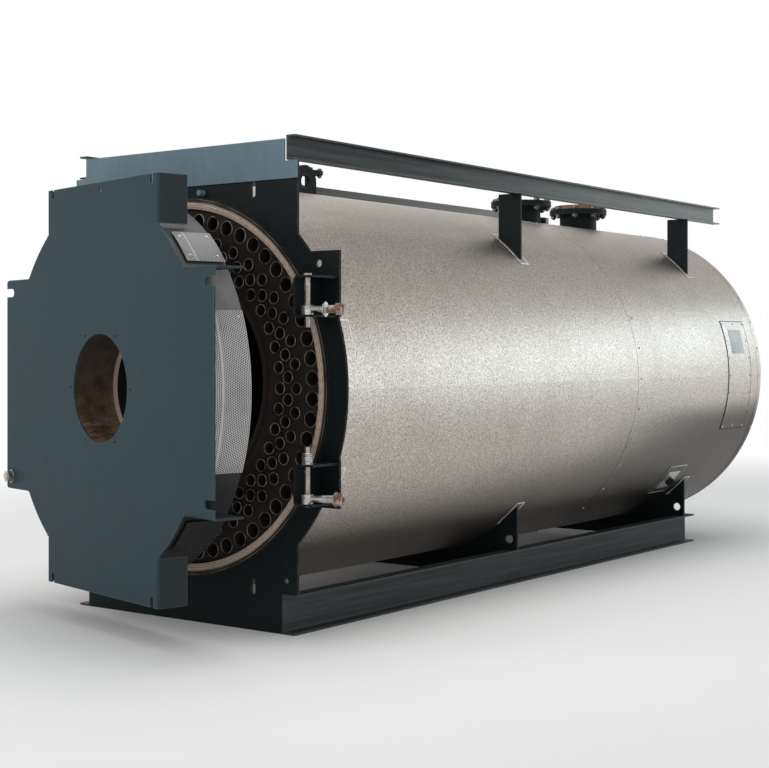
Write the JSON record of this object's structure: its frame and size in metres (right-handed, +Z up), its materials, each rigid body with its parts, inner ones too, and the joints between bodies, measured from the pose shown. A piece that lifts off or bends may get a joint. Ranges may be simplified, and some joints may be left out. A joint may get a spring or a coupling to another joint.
{
  "type": "industrial boiler",
  "caption": "Horizontal fire-tube hot-water boiler: jacketed shell on a channel base, top rails, drilled tube sheet with furnace mouth, and a hinged insulated burner door held by swing bolts.",
  "frame": {"origin": "on the floor, at the middle of the front plate's foot", "axes": "+X to the right seen from the front, +Y along the boiler to its rear, +Z up"},
  "size_m": [1.8254, 4.8785, 2],
  "materials": {
    "frame_paint": "satin dark grey paint",
    "door_paint": "satin slate paint",
    "header_paint": "satin blue-grey paint",
    "fired_steel": "dark mill steel with light rust",
    "rope": "braided ceramic rope",
    "jacket_sheet": "stucco-embossed sheet",
    "drum_sheet": "dull steel sheet",
    "refractory": "cast refractory",
    "zinc_steel": "zinc plate with rust",
    "cover_board": "brown board"
  },
  "bodies": {
    "boiler": {"base_rail_left": "frame_paint", "base_rail_right": "frame_paint", "saddles": "frame_paint", "front_plate": "frame_paint", "front_header": "header_paint", "stop_pegs": "zinc_steel", "vessel_shell": "fired_steel", "vessel_shell_rear": "fired_steel", "tube_sheet": "fired_steel", "rear_tube_sheet": "fired_steel", "outer_tubes": "fired_steel", "inner_tubes": "fired_steel", "furnace_tube": "fired_steel", "gasket_seat": "fired_steel", "gasket_rope": "rope", "jacket_front": "jacket_sheet", "jacket_rear": "jacket_sheet", "jacket_end": "jacket_sheet", "cleaning_hatch": "jacket_sheet", "flue_outlet": "frame_paint", "top_rail_left": "frame_paint", "top_rail_right": "frame_paint", "posts_middle": "frame_paint", "posts_rear": "frame_paint", "lifting_lug": "frame_paint", "flow_nozzle": "frame_paint", "return_nozzle": "frame_paint", "return_cover": "cover_board", "safety_nozzle": "frame_paint", "sensor_pocket": "frame_paint", "brackets_upper": "frame_paint", "brackets_lower": "frame_paint", "hinge_pins": "zinc_steel", "pin_washers": "zinc_steel"},
    "door": {"door_plate": "door_paint", "door_drum": "drum_sheet", "door_insulation": "refractory", "door_guards": "drum_sheet", "hinge_lugs": "door_paint", "hinge_bolt": "zinc_steel", "hinge_nut": "zinc_steel"},
    "upper_bolt_carrier": {"lift_washer_upper": "zinc_steel"},
    "upper_bolt": {"swing_bolt_upper": "zinc_steel", "swing_nut_upper": "zinc_steel"},
    "lower_bolt_carrier": {"lift_washer_lower": "zinc_steel"},
    "lower_bolt": {"swing_bolt_lower": "zinc_steel", "swing_nut_lower": "zinc_steel"}
  },
  "joints": [
    {"name": "door_hinge", "type": "hinge", "parent": "boiler", "child": "door", "pos_m": [-0.79, -0.13, 0.985], "axis": [0, 0, 1], "range_deg": [-95.8, 14.2]},
    {"name": "upper_bolt_lift", "type": "slide", "parent": "boiler", "child": "upper_bolt_carrier", "axis": [0, 0, 1], "range_m": [0, 0.0937]},
    {"name": "upper_bolt_swing", "type": "hinge", "parent": "upper_bolt_carrier", "child": "upper_bolt", "pos_m": [0.79, -0.13, 1.2963], "axis": [0, 0, -1], "range_deg": [0, 107]},
    {"name": "lower_bolt_lift", "type": "slide", "parent": "boiler", "child": "lower_bolt_carrier", "axis": [0, 0, 1], "range_m": [0, 0.0117]},
    {"name": "lower_bolt_swing", "type": "hinge", "parent": "lower_bolt_carrier", "child": "lower_bolt", "pos_m": [0.79, -0.13, 0.5683], "axis": [0, 0, -1], "range_deg": [0, 107]}
  ]
}
